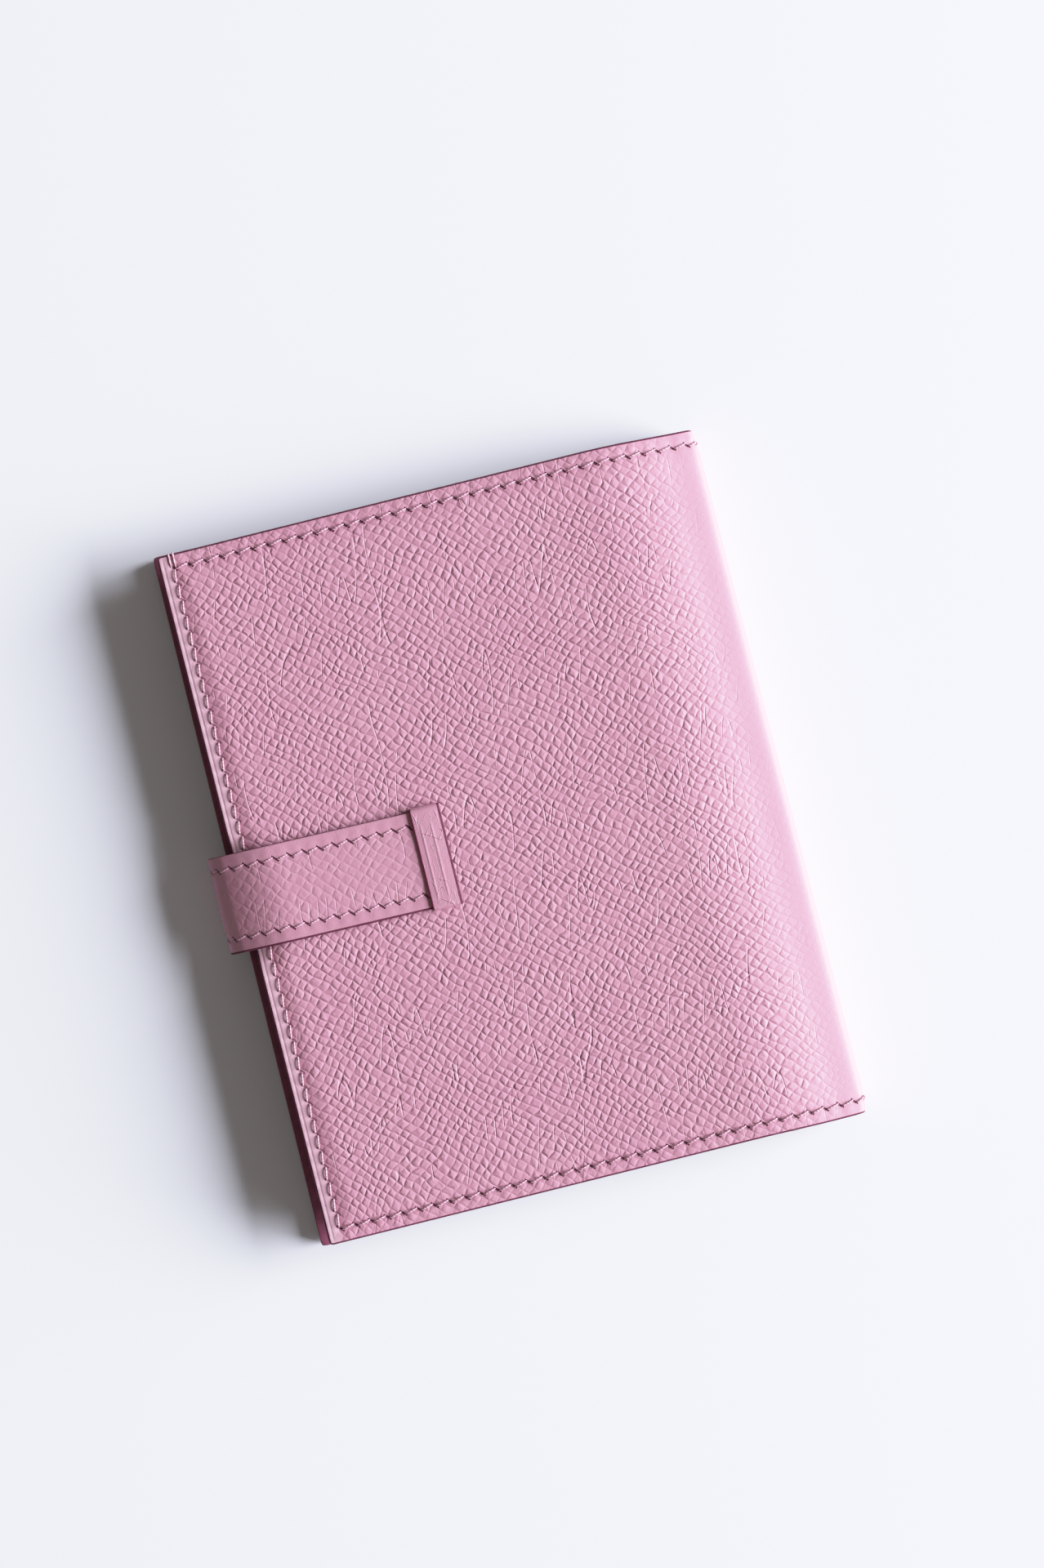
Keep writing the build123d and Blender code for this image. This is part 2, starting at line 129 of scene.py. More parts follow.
class Surface:
    """A node material in the making: its methods add nodes and give back their results as fields."""

    def __init__(self, name):
        self.material = bpy.data.materials.new(name)
        self.material.use_nodes = True
        self.tree = self.material.node_tree
        self.shader = next(n for n in self.tree.nodes if n.type == "BSDF_PRINCIPLED")

    def feed(self, socket, value):
        """Links a field to an input, or sets it to a plain value."""
        if isinstance(value, Field):
            self.tree.links.new(value.socket, socket)
        else:
            socket.default_value = (*value, 1.0) if socket.type == "RGBA" else value

    def node(self, kind, inputs=(), output=0, **settings):
        """The result of a new node, whose inputs are given by number or by name."""
        made = self.tree.nodes.new(kind)
        for key, value in settings.items():
            setattr(made, key, value)
        for key, value in inputs.items() if isinstance(inputs, dict) else enumerate(inputs):
            self.feed(made.inputs[key], value)
        return Field(self, made.outputs[output])

    def calc(self, operation, *values):
        """A math node's result."""
        return self.node("ShaderNodeMath", values, operation=operation)

    def vector(self, operation, *values):
        """A vector math node's result."""
        return self.node("ShaderNodeVectorMath", values, operation=operation)

    def split(self, value):
        """The three parts of a vector."""
        first = self.node("ShaderNodeSeparateXYZ", [value])
        return [Field(self, output) for output in first.socket.node.outputs]

    def ramp(self, value, low, high, start=0.0, end=1.0):
        """value from low to high, mapped smoothly to start and end."""
        inputs = {"Value": value, "From Min": low, "From Max": high, "To Min": start, "To Max": end}
        return self.node("ShaderNodeMapRange", inputs, "Result", interpolation_type="SMOOTHSTEP")

    def noise(self, where, scale, detail=2.0, rough=0.5, output=0):
        """Noise from 0 to 1."""
        inputs = {"Vector": where, "Scale": scale, "Detail": detail, "Roughness": rough}
        return self.node("ShaderNodeTexNoise", inputs, output, noise_dimensions="3D")

    def turned(self, where, degrees, scale):
        """Coordinates turned about Z and scaled."""
        inputs = {"Vector": where, "Rotation": (0, 0, math.radians(degrees)), "Scale": (1, 1, 1)}
        turn = self.node("ShaderNodeMapping", inputs, vector_type="POINT")
        return self.vector("MULTIPLY", turn, scale)

    def attribute(self, name, output="Vector"):
        """A value stored on the mesh's points."""
        return self.node("ShaderNodeAttribute", (), output, attribute_name=name)

    def own_place(self, scale):
        """The piece's own coordinates, scaled."""
        return self.vector("MULTIPLY", self.node("ShaderNodeTexCoord", (), "Object"), scale)

    def mixed(self, factor, first, second):
        """One colour mixed into another."""
        made = self.node("ShaderNodeMix", data_type="RGBA").socket.node
        inputs = {socket.identifier: socket for socket in made.inputs}
        for name, value in zip(("Factor_Float", "A_Color", "B_Color"), (factor, first, second)):
            self.feed(inputs[name], value)
        return Field(self, next(s for s in made.outputs if s.identifier == "Result_Color"))

    def finish(self, tone, rough, height=None, specular=0.5):
        """Ties the colour, the roughness and a height in mm to the shader, and gives the material."""
        if height is not None:
            inputs = {"Height": height, "Distance": MM, "Strength": 1.0}
            self.feed(self.shader.inputs["Normal"], self.node("ShaderNodeBump", inputs, "Normal"))
        self.feed(self.shader.inputs["Base Color"], tone)
        self.feed(self.shader.inputs["Roughness"], rough)
        self.shader.inputs["Specular IOR Level"].default_value = specular
        return self.material


# ---- the grain and the stitch holes ----
GRAIN_TURN = 45  # the long grooves run this many degrees off the hide's length
GRAIN_WOBBLE = 4.0  # how far the grooves stray over a broad patch
GRAIN_SHIVER = 1.35  # and within a few cells
ROW_SHIFT = 0.26  # each row of cells starts up to this share of a cell further on
HOLE_SLANTS = (-45, -42)  # the stitch holes' slant in the side rows and the end rows
HOLE_DEPTH = 0.25


def scattered(hide, first, second):
    """A number from 0 to 1 that depends on two whole numbers in no visible order."""
    place = hide.node("ShaderNodeCombineXYZ", [first, second])
    return hide.node("ShaderNodeTexWhiteNoise", [place], "Value", noise_dimensions="2D")


def grain_cells(hide, flat, spacing):
    """Rows of four-sided cells: distances to the long grooves and to the cross ones, and three shades."""
    warped = flat
    for scale, reach in ((0.055, GRAIN_WOBBLE), (0.30, GRAIN_SHIVER)):
        stray = hide.vector("SUBTRACT", hide.noise(flat, scale, 1.0, output="Color"), (0.5, 0.5, 0.5))
        warped = hide.vector("ADD", warped, hide.vector("MULTIPLY", stray, (reach, reach, 0.0)))
    along, across, _ = hide.split(hide.turned(warped, GRAIN_TURN, (1 / spacing, 1.04 / spacing, 0)))
    row = hide.calc("FLOOR", across)
    along = along + scattered(hide, row, 3.7) * ROW_SHIFT
    long_groove = hide.calc("ROUND", across)
    cross_groove = hide.calc("ROUND", along)
    shades = [scattered(hide, long_groove, 8.1), scattered(hide, cross_groove, row)]
    shades.append(scattered(hide, hide.calc("FLOOR", along), row))
    return abs(across - long_groove), abs(along - cross_groove), *shades


def creases(hide, flat, degrees, across, along, sparse):
    """Sparse long, gently curving creases, 1 in the crease and 0 elsewhere."""
    level = hide.noise(hide.turned(flat, degrees, (1 / across, 1 / along, 0)), 1.0, 0.0)
    line = hide.ramp(abs(level - 0.5), 0.004, 0.020, 1.0, 0.0)
    return line * hide.ramp(hide.noise(flat, 0.16, 1.0), sparse, sparse + 0.08)


def slits(hide, axis):
    """The slanting holes of one kind of row, 0 for side rows and 1 for end rows: 1 in a hole."""
    counts = hide.split(hide.attribute("count"))
    rows = hide.split(hide.attribute("rows"))
    here = (rows, counts)[axis][2]
    slant = math.radians(HOLE_SLANTS[axis])
    along = (hide.calc("FRACT", counts[axis] + 0.5) - 0.5) * PITCH
    length = along * math.cos(slant) + rows[axis] * math.sin(slant)
    width = rows[axis] * math.cos(slant) - along * math.sin(slant)
    inside = hide.ramp(abs(length), 0.76, 0.96, 1.0, 0.0) * hide.ramp(abs(width), 0.12, 0.25, 1.0, 0.0)
    return inside * hide.ramp(here, 0.55, 0.90, 0.0, (0.45, 1.0)[axis])


def stitch_holes(hide):
    """The holes of all rows: 1 in a hole."""
    return hide.calc("MAXIMUM", slits(hide, 0), slits(hide, 1))


# ---- the materials ----
PINK = (0.470, 0.217, 0.290)
PINK_COOL = (0.455, 0.204, 0.280)
PINK_GROOVE_SHADE = (0.330, 0.120, 0.175)
PINK_PALE = (0.560, 0.300, 0.380)
# paler margin colour: burnished wear and painted sheen
PINK_WORN_SHEEN = (0.560, 0.345, 0.415)
# painted shade: the dark colour of the shade inside the stitch holes
HOLE_SHADE = (0.085, 0.014, 0.034)


def grained_leather(name, depth, spacing, groove_shading, groove_shading_colour):
    """A hide with embossed crosswise grain, which fades where the grain attribute says.

    depth is the grain's and spacing the grooves', in mm; groove_shading is how much of
    groove_shading_colour is painted into the grooves: painted shade when that colour is deep, painted
    light of the lit groove flanks when it is pale.
    """
    hide = Surface(name)
    flat = hide.attribute("flat")
    relief = hide.attribute("grain", "Fac")
    to_long, to_cross, long_shade, cross_shade, cell_shade = grain_cells(hide, flat, spacing)
    deep_long = hide.ramp(long_shade, 0.0, 0.9, 0.75, 1.0)
    deep_cross = hide.ramp(cross_shade, 0.1, 0.7, 0.60, 1.0)
    long_groove = hide.ramp(to_long, 0.02, 0.15, 1.0, 0.0) * deep_long
    cross_groove = hide.ramp(to_cross, 0.02, 0.14, 1.0, 0.0) * deep_cross
    uneven = hide.ramp(hide.noise(flat, 0.42, 1.0), 0.34, 0.60, 0.40, 1.0)
    groove = hide.calc("MAXIMUM", long_groove, cross_groove) * uneven
    from_long = hide.ramp(to_long, 0.0, 0.38, 1.0, 0.0) * deep_long
    from_cross = hide.ramp(to_cross, 0.0, 0.36, 1.0, 0.0) * deep_cross
    pillow = (1.0 - from_long) * (1.0 - from_cross) * (cell_shade * 0.30 + 0.70) * uneven
    cells = (pillow - groove * 0.45 - creases(hide, flat, 8, 3.4, 21.0, 0.50) * 0.75) * relief
    pores = hide.noise(flat, 3.2, 3.0, 0.6)
    hole = stitch_holes(hide)
    height = cells * depth + pores * 0.035 - hole * HOLE_DEPTH

    tone = hide.mixed(hide.ramp(hide.noise(flat, 0.05, 2.0), 0.3, 0.7), PINK, PINK_COOL)
    # the grooves take groove_shading_colour as painted shade, or as painted light on the strap
    painted_groove_shading = groove * relief * groove_shading
    tone = hide.mixed(painted_groove_shading, tone, groove_shading_colour)
    fleck = hide.ramp(hide.noise(flat, 5.0, 2.0), 0.60, 0.78, 0.0, 0.22)
    tone = hide.mixed(fleck, tone, PINK_PALE)
    from_side_row = hide.split(hide.attribute("rows"))[0]
    # the margin between the open edge and the side row is paler: burnished wear and painted sheen
    tone = hide.mixed(hide.ramp(from_side_row, -1.2, 0.3, 0.75, 0.0), tone, PINK_WORN_SHEEN)
    # painted shade in the stitch holes
    tone = hide.mixed(hole, tone, HOLE_SHADE)
    return hide.finish(tone, pores * 0.14 + 0.44 + painted_groove_shading * 0.3, height, 0.45)


def smooth_leather(name, colour, deep, wrinkle=0.0):
    """A smooth hide with fine pores and, where wrinkle is above 0, wrinkles this deep, mostly along Y."""
    hide = Surface(name)
    flat = hide.attribute("flat")
    inputs = {"Vector": hide.turned(flat, 20, (2.2, 2.2, 0)), "Scale": 1.0, "Randomness": 1.0}
    kind = {"voronoi_dimensions": "2D", "feature": "DISTANCE_TO_EDGE"}
    pebble = hide.node("ShaderNodeTexVoronoi", inputs, "Distance", **kind)
    pores = hide.noise(flat, 4.0, 3.0, 0.6)
    hole = stitch_holes(hide)
    height = pores * 0.025 + pebble * 0.020 - hole * HOLE_DEPTH
    if wrinkle:
        long_lines = creases(hide, flat, 0, 1.3, 14.0, 0.45)
        cross_lines = creases(hide, flat, 32, 0.9, 3.6, 0.42)
        height = height - hide.calc("MAXIMUM", long_lines, cross_lines) * wrinkle
    tone = hide.mixed(hide.ramp(hide.noise(flat, 0.12, 3.0), 0.3, 0.7), colour, deep)
    # painted shade in the stitch holes
    tone = hide.mixed(hole, tone, HOLE_SHADE)
    return hide.finish(tone, pores * 0.12 + 0.46, height, 0.4)


def edge_paint(name, dark, light):
    """The burnished, painted edge of the leather, darker than its face."""
    edge = Surface(name)
    streaks = edge.noise(edge.own_place((600.0, 600.0, 2500.0)), 1.0, 3.0)
    tone = edge.mixed(edge.ramp(streaks, 0.3, 0.7), dark, light)
    return edge.finish(tone, edge.ramp(streaks, 0.2, 0.8, 0.52, 0.70), streaks * 0.05, 0.22)


def thread_material(name):
    """Waxed linen thread with its twist."""
    thread = Surface(name)
    flat = thread.attribute("flat")
    along, around, _ = thread.split(flat)
    ply = thread.calc("SINE", along * 9.0 + around)
    fuzz = thread.noise(flat, 6.0, 2.0)
    # painted shade: the thread is darker in the hollows of its twist
    shade = thread.ramp(ply, -1.0, 0.6)
    tone = thread.mixed(shade, (0.440, 0.215, 0.285), (0.580, 0.330, 0.415))
    return thread.finish(tone, thread.ramp(fuzz, 0.2, 0.8, 0.42, 0.60), ply * 0.03 + fuzz * 0.02)


def board_material(name):
    """Grey pressed leather board."""
    board = Surface(name)
    fibres = board.noise(board.own_place((900.0, 900.0, 900.0)), 1.0, 4.0, 0.7)
    shade = board.ramp(fibres, 0.3, 0.7)
    tone = board.mixed(shade, (0.21, 0.18, 0.15), (0.36, 0.31, 0.26))
    return board.finish(tone, board.ramp(fibres, 0.2, 0.8, 0.75, 0.95), fibres * 0.08)


def table_material(name):
    """A pale, faintly uneven table top."""
    table = Surface(name)
    cloud = table.ramp(table.noise(table.own_place((1.0, 1.0, 1.0)), 2.5, 2.0), 0.2, 0.8)
    tone = table.mixed(cloud, (0.770, 0.790, 0.870), (0.780, 0.800, 0.880))
    return table.finish(tone, 0.6, None, 0.2)


# painted shade: the cover's grain grooves are coloured deeper
LEATHER = grained_leather("grained_leather", depth=0.140, spacing=1.55, groove_shading=0.36, groove_shading_colour=PINK_GROOVE_SHADE)
# painted light: the strap's grooves are paler, for the light their flanks catch
STRAP_HIDE = grained_leather("strap_leather", depth=0.060, spacing=1.75, groove_shading=0.30, groove_shading_colour=PINK_PALE)
LINING = smooth_leather("lining_leather", (0.430, 0.205, 0.270), (0.400, 0.185, 0.245))
KEEPER = smooth_leather("keeper_leather", (0.470, 0.222, 0.295), (0.450, 0.206, 0.280), 0.09)
PAINT = edge_paint("edge_paint", (0.078, 0.013, 0.031), (0.110, 0.028, 0.050))
# painted shade: a redder copy of the edge paint on the keeper's side away from the light, colouring the
# shaded gap
GAP_SHADE_PAINT = edge_paint("keeper_gap_shade_paint", (0.200, 0.014, 0.066), (0.240, 0.022, 0.080))
# painted shade: the sleeve's margin past the front cover's edge, dark even where the window reaches it
LEDGE_SHADE = edge_paint("ledge_shade_margin", (0.210, 0.058, 0.105), (0.260, 0.076, 0.130))
THREAD = thread_material("thread")
BOARD = board_material("leather_board")
TABLE = table_material("pale_table")


# ---- meshes ----
def build(name, points, faces, materials, face_materials=None, values=None):
    """A mesh object from points in mm, with values stored on its points."""
    mesh = bpy.data.meshes.new(name)
    mesh.from_pydata((np.asarray(points) * MM).tolist(), [], [list(f) for f in faces])
    for key, data in (values or {}).items():
        data = np.asarray(data, np.float32)
        if data.ndim == 1:
            mesh.attributes.new(key, "FLOAT", "POINT").data.foreach_set("value", data)
        else:
            mesh.attributes.new(key, "FLOAT_VECTOR", "POINT").data.foreach_set("vector", data.ravel())
    for each in materials:
        mesh.materials.append(each)
    if face_materials is not None:
        mesh.polygons.foreach_set("material_index", np.asarray(face_materials, np.int32))
    mesh.polygons.foreach_set("use_smooth", np.ones(len(mesh.polygons), bool))
    mesh.update()
    piece = bpy.data.objects.new(name, mesh)
    bpy.context.scene.collection.objects.link(piece)
    return piece


def grid_faces(index):
    """The quads of a grid of points with these numbers."""
    return np.stack([index[:-1, :-1], index[:-1, 1:], index[1:, 1:], index[1:, :-1]], -1).reshape(-1, 4)


def tube_faces(rings):
    """The quads of a tube whose points are numbered ring by ring."""
    around = np.roll(rings, -1, axis=1)
    return np.stack([rings[:-1], around[:-1], around[1:], rings[1:]], -1).reshape(-1, 4)


def unit(vectors):
    """The vectors at length 1."""
    return vectors / np.linalg.norm(vectors, axis=-1, keepdims=True)


def lines(low, high, step, fine=()):
    """Grid lines from low to high at about this step, with finer ones over (from, to, step) stretches."""
    marks = {round(low, 4), round(high, 4)}
    count = max(1, round((high - low) / step))
    marks.update(round(low + (high - low) * n / count, 4) for n in range(count + 1))
    for start, end, pace in fine:
        start, end = max(low, start), min(high, end)
        if end > start:
            marks = {m for m in marks if m < start or m > end or m in (low, high)}
            count = max(1, round((end - start) / pace))
            marks.update(round(start + (end - start) * n / count, 4) for n in range(count + 1))
    kept = []
    for mark in sorted(marks):
        if not kept or mark - kept[-1] > 0.02:
            kept.append(mark)
    kept[-1] = round(high, 4)
    return np.array(kept)


def step_up(value, low, high):
    """Smoothly from 0 to 1."""
    t = np.clip((value - low) / (high - low), 0, 1)
    return t * t * (3 - 2 * t)


class Hide:
    """How a flat hide rolls round a bend, whose section is half a rounded box: q is 0 at its middle."""

    def __init__(self, start, side, reach, low, high, sag, boxy=2.0):
        """start is where the bend begins in X, side the way it bulges, low and high its outer heights.

        sag is (share, begin, knee, end): towards the bend the upper run loses this share of its height
        over the bend's middle, ever faster from begin to knee, and ever slower from there to end.
        boxy is 2 for half an ellipse, and more for a flatter back with tighter turns.
        """
        self.start, self.side, self.reach = start, side, reach
        self.low, self.high = low, high
        self.sag = sag
        self.middle = (low + high) / 2
        self.rise = (high - low) / 2
        self.power = 2 / boxy
        turn = np.linspace(0, math.pi, 4001)
        out = np.diff(reach * self.bent(np.sin(turn)))
        down = np.diff(self.rise * self.bent(np.cos(turn)))
        self.turns = turn
        self.lengths = np.concatenate([[0], np.cumsum(np.hypot(out, down))])
        self.half = self.lengths[-1] / 2

    def bent(self, value):
        """A sine or cosine of the turn, raised for a boxier section."""
        return np.sign(value) * np.abs(value) ** self.power

    def q_of(self, x, above):
        """The flat coordinate of a place on the upper or lower run."""
        run = self.half + self.side * (self.start - x)
        return -run if above else run

    def kept(self, x):
        """The share of its height over the middle that the upper run keeps at x."""
        share, begin, knee, end = self.sag
        t = np.clip((x - begin) / (end - begin), 0, 1)
        turn = (knee - begin) / (end - begin)
        fall = np.where(t < turn, t * t / turn, 1 - (1 - t) ** 2 / (1 - turn))
        return 1 - share * fall

    def place(self, q, y, depth):
        """Points for flat coordinates and a depth in from the outer face.

        q runs from the upper run round the bend to the lower one.
        """
        q, y, depth = np.broadcast_arrays(np.asarray(q, float), y, depth)
        turn = np.interp(self.half - q, self.lengths, self.turns)
        on_top = q < -self.half
        below = q > self.half
        flat_x = self.start - self.side * (np.abs(q) - self.half)
        bulge = (self.reach - depth) * self.bent(np.abs(np.sin(turn)))
        x = np.where(on_top | below, flat_x, self.start + self.side * bulge)
        z = self.middle - (self.rise - depth) * self.bent(np.cos(turn))
        z = np.where(on_top, self.high - depth, np.where(below, self.low + depth, z))
        over = self.middle + (z - self.middle) * self.kept(x)
        return np.stack([x, y, np.where(z > self.middle, over, z)], -1)


COVER_SAG = (0.47, 33.0, 48.7, 55.6)  # the front cover eases down into the spine
SPINE_BOXY = 5.0
STRAP_SAG = (0.50, -41.6, -53.4, -54.8)  # and the strap droops past the open edge
STRAP_LEAN = -0.0157  # the strap's run over the cover isn't quite square to it
SKEW_TOP, SKEW_BOTTOM = 0.30, -0.55  # the back cover's open edge isn't quite square to the front's
BACK_SPREAD = 0.016  # and it is this share longer
LEAN, SPINE_LEAN = -0.0026, -0.0036  # the open edge and the spine aren't quite upright
DRIFT_FROM, SPINE_DRIFT = 33.0, -0.55  # past here the covers drift this far along the spine
DENT_REACH = (STRAP_HALF + 0.3, STRAP_HALF + 4.8)


class Cover(Hide):
    """The covers and spine: a little out of square, and dented by the strap at the front cover's edge."""

    def place(self, q, y, depth):
        points = super().place(q, y, depth)
        x, y, z = points[..., 0].copy(), points[..., 1].copy(), points[..., 2]
        on_back = q > self.half
        along = np.clip((self.start - x) / (self.start - BACK_EDGE), 0, 1)
        to_spine = np.clip((x - BACK_EDGE) / (SPINE_X - BACK_EDGE), 0, 1)
        skew = (SKEW_TOP + SKEW_BOTTOM) / 2 + (SKEW_TOP - SKEW_BOTTOM) / 2 * y / HALF_HEIGHT
        moved = x + y * (LEAN + SPINE_LEAN * to_spine)
        points[..., 0] = moved + np.where(on_back, skew * along, 0)
        drifted = y + SPINE_DRIFT * step_up(x, DRIFT_FROM, SPINE_X)
        points[..., 1] = drifted + np.where(on_back, y * BACK_SPREAD * along, 0)
        under_strap = 1 - step_up(np.abs(y - STRAP_LEAN * (x - BACK_EDGE)), *DENT_REACH)
        dent = (THICK - STRAP_MID) * (1 - STRAP.kept(x)) * under_strap
        points[..., 2] = z - np.where(q < -self.half, dent, 0)
        return points


class Strap(Hide):
    """The strap, whose run over the front cover leans a little."""

    def place(self, q, y, depth):
        points = super().place(q, y, depth)
        run = np.clip(points[..., 0] - BACK_EDGE, 0, None)
        points[..., 1] += np.where(q < 0, STRAP_LEAN * run, 0)
        return points


STRAP = Strap(BACK_EDGE, -1, STRAP_BULGE, STRAP_LOW, STRAP_TOP, STRAP_SAG)
COVER = Cover(BEND_START, 1, SPINE_REACH, 0.0, THICK, COVER_SAG, SPINE_BOXY)


# ---- the laid-out cover: edges, stitch rows and relief ----
Q_FRONT = COVER.q_of(FRONT_EDGE, True)  # negative: the front cover's open edge
Q_BACK = COVER.q_of(BACK_EDGE, False)  # positive: the back cover's open edge
FRONT_STITCHES = round((-Q_FRONT - ROW_INSET) / PITCH)
BACK_STITCHES = round((Q_BACK - ROW_INSET) / PITCH)
FRONT_PITCH = (-Q_FRONT - ROW_INSET) / FRONT_STITCHES
BACK_PITCH = (Q_BACK - ROW_INSET) / BACK_STITCHES
SIDE_STITCHES = 2 * round(END_ROW / PITCH)
SIDE_PITCH = 2 * END_ROW / SIDE_STITCHES

VALLEY = 0.14  # how far a row of stitches pulls the leather in
VALLEY_WIDTH = 0.60
DIMPLE = 0.10  # deeper at each hole
PUFF = 0.13  # and how far it swells between two holes
SIDE_SHARE = 0.5  # the side rows are drawn in less
MARGIN_DROP = 0.36  # the margin, with no board under it, lies this much lower
MARGIN_CURL = 0.22  # and curls down a little more at its edge
CREASE_INSET = 1.0  # the creased line beside the open edge
CREASE = 0.07
EDGE_ROUND = 0.40
LEDGE = 2.6  # the sleeve's margin past the front cover's edge, which carries painted shade of the front cover


def gauss(distance, width):
    """A bell of height 1."""
    return np.exp(-(distance / width) ** 2)


def from_open_edge(q):
    """The distance along the hide from its nearer open edge."""
    return np.where(q < 0, q - Q_FRONT, Q_BACK - q)


def row_marks(q, y):
    """Distances across the side and end rows, and how many stitches along each row a point lies.

    The third number of each is 1 where there are side rows, or end rows.
    """
    u = from_open_edge(q)
    across_end = y - np.sign(y) * END_ROW
    side_here = np.abs(y) < END_ROW + 0.8
    end_here = (u > ROW_INSET - 0.8) & (np.abs(y) > END_ROW / 2)
    count_end = q / np.where(q < 0, FRONT_PITCH, BACK_PITCH)
    rows = np.stack([u - ROW_INSET, across_end, side_here.astype(float)], -1)
    return rows, np.stack([y / SIDE_PITCH, count_end, end_here.astype(float)], -1)


def sewn(across, count, outward):
    """The relief of one sewn row. outward is 1 where the edge lies on the positive side."""
    phase = count - np.floor(count)
    hole = np.minimum(phase, 1 - phase) * PITCH
    swell = np.sin(np.pi * phase) ** 2
    relief = -VALLEY * gauss(across, VALLEY_WIDTH)
    relief = relief - DIMPLE * gauss(hole, 0.45) * gauss(across, 0.45)
    relief = relief + PUFF * swell * gauss(across * outward - 1.25, 0.75)
    return relief + 0.5 * PUFF * (swell - 0.5) * gauss(across * outward + 1.1, 0.7)


def cover_relief(q, y):
    """How far the outer face stands out from its plain shape, at most 0 over the boards."""
    rows, counts = row_marks(q, y)
    u = from_open_edge(q)
    v = HALF_HEIGHT - np.abs(y)
    board = step_up(np.minimum(u, v), ROW_INSET - 0.6, BOARD_MARGIN + 1.4)
    relief = MARGIN_DROP * (board - 1)
    side_row = sewn(rows[..., 0], counts[..., 0], -1) * step_up(v, END_INSET - 1, END_INSET)
    relief = relief + SIDE_SHARE * side_row
    relief = relief + sewn(END_INSET - v, counts[..., 1], 1) * step_up(u, ROW_INSET - 1, ROW_INSET)
    creased = CREASE * gauss(u - CREASE_INSET, 0.17) * step_up(v, 0.6, 1.4)
    wave = np.cos(q / 9.7 + 0.6 * np.sin(y / 17.0)) * np.cos(y / 13.1 + 1.0)
    curl = MARGIN_CURL * np.clip(1 - v / END_INSET, 0, 1) ** 2
    return relief - creased - curl - 0.035 * (1 - wave) * board


def grain_strength(q, y):
    """The grain is pressed flatter along the sewn margins and where the spine turns."""
    from_side = from_open_edge(q) - ROW_INSET
    from_end = END_ROW - np.abs(y)
    by_side = 0.12 + 0.60 * step_up(from_side, -0.4, 0.6) + 0.28 * step_up(from_side, 1.0, 6.0)
    by_end = 0.50 + 0.20 * step_up(from_end, -0.4, 0.6) + 0.30 * step_up(from_end, 1.0, 5.0)
    turn = step_up(np.abs(q), 6.0, 20.5)
    return np.minimum(by_side, by_end) * (0.04 + 0.96 * turn)


def round_corners(q, y, edge_q, away):
    """Pulls a sheet's square corners at q = edge_q onto an arc; also the inset from its free edges."""
    u = (q - edge_q) * away
    v = HALF_HEIGHT - np.abs(y)
    a = np.clip(1 - u / CORNER, 0, 1)
    b = np.clip(1 - v / CORNER, 0, 1)
    inside = (a > 0) & (b > 0)
    ra, rb = a * np.sqrt(1 - b * b / 2), b * np.sqrt(1 - a * a / 2)
    new_u = np.where(inside, CORNER * (1 - ra), u)
    new_v = np.where(inside, CORNER * (1 - rb), v)
    inset = np.where(inside, CORNER * (1 - np.hypot(ra, rb)), np.minimum(u, v))
    return edge_q + new_u * away, np.sign(y) * (HALF_HEIGHT - new_v), inset


def rim(radius):
    """Insets at which a rounded edge is sampled."""
    return [radius * (1 - math.sin(math.radians(angle))) for angle in (90, 68, 45, 22, 0)]


def rounding(inset, radius):
    """How deep a rounded edge lies at this inset from the outline."""
    t = np.clip(1 - inset / radius, 0, 1)
    return radius * (1 - np.sqrt(1 - t * t))


def with_rim(marks, low_rim, high_rim, radius):
    """Adds a rounded edge's grid lines at the low end, the high end or both."""
    marks = np.asarray(marks)
    low, high = marks[0], marks[-1]
    kept = marks[(marks > low + radius * 1.1) | (not low_rim)]
    kept = kept[(kept < high - radius * 1.1) | (not high_rim)]
    extra = [low + o for o in rim(radius) if low_rim] + [high - o for o in rim(radius) if high_rim]
    return np.array(sorted(set(np.round(np.concatenate([kept, extra]), 4))))


def sheet_mesh(name, place, grid, top, under, materials, values, seam=None,
               painted=EDGE_ROUND + 0.01, flip=False):
    """A closed sheet over a grid: an outer face, an inner face and walls round its outline.

    place(q, y, depth) gives points; top and under are the two faces' depths. The second material
    is on the walls, and on the faces where the inset is under painted. seam is the column, 0 or -1,
    at which another sheet carries on, and where the faces keep the whole hide's normals.
    """
    q, y, inset = grid
    rows, columns = q.shape
    outer = place(q, y, top).reshape(-1, 3)
    inner = place(q, y, under).reshape(-1, 3)
    count = rows * columns
    index = np.arange(count).reshape(rows, columns)
    quads = grid_faces(index)
    faces = [quads, quads[:, ::-1] + count]
    rim_faces = (inset.ravel() < painted)[quads].sum(1) >= 3
    kinds = [rim_faces, rim_faces]
    ring = [index[0, :], index[:, -1], index[-1, ::-1], index[::-1, 0]]
    apart = {1: seam == -1, 3: seam == 0}
    points, extra = [outer, inner], 2 * count
    sources = [np.arange(count), np.arange(count)]
    for side, line in enumerate(ring):
        n = len(line)
        if apart.get(side):
            points += [outer[line], inner[line]]
            sources += [line, line]
            above = np.arange(n) + extra
            below = above + n
            extra += 2 * n
        else:
            above, below = line, line + count
        faces.append(np.stack([above[:-1], below[:-1], below[1:], above[1:]], -1))
        kinds.append(np.ones(n - 1, bool))
    points = np.concatenate(points)
    sources = np.concatenate(sources)
    faces = np.concatenate(faces)
    faces = faces[:, ::-1] if flip else faces
    stored = {key: np.asarray(data).reshape(count, -1)[sources].squeeze() for key, data in values.items()}
    piece = build(name, points, faces, materials, np.concatenate(kinds).astype(int), stored)
    if seam is not None:
        normals = np.zeros((len(points), 3))
        normals[index[:, seam]] = seam_normals(place, q[:, seam], y[:, seam], top[:, seam])
        normals[index[:, seam] + count] = -seam_normals(place, q[:, seam], y[:, seam], under[:, seam])
        piece.data.normals_split_custom_set_from_vertices(normals.tolist())
    return piece


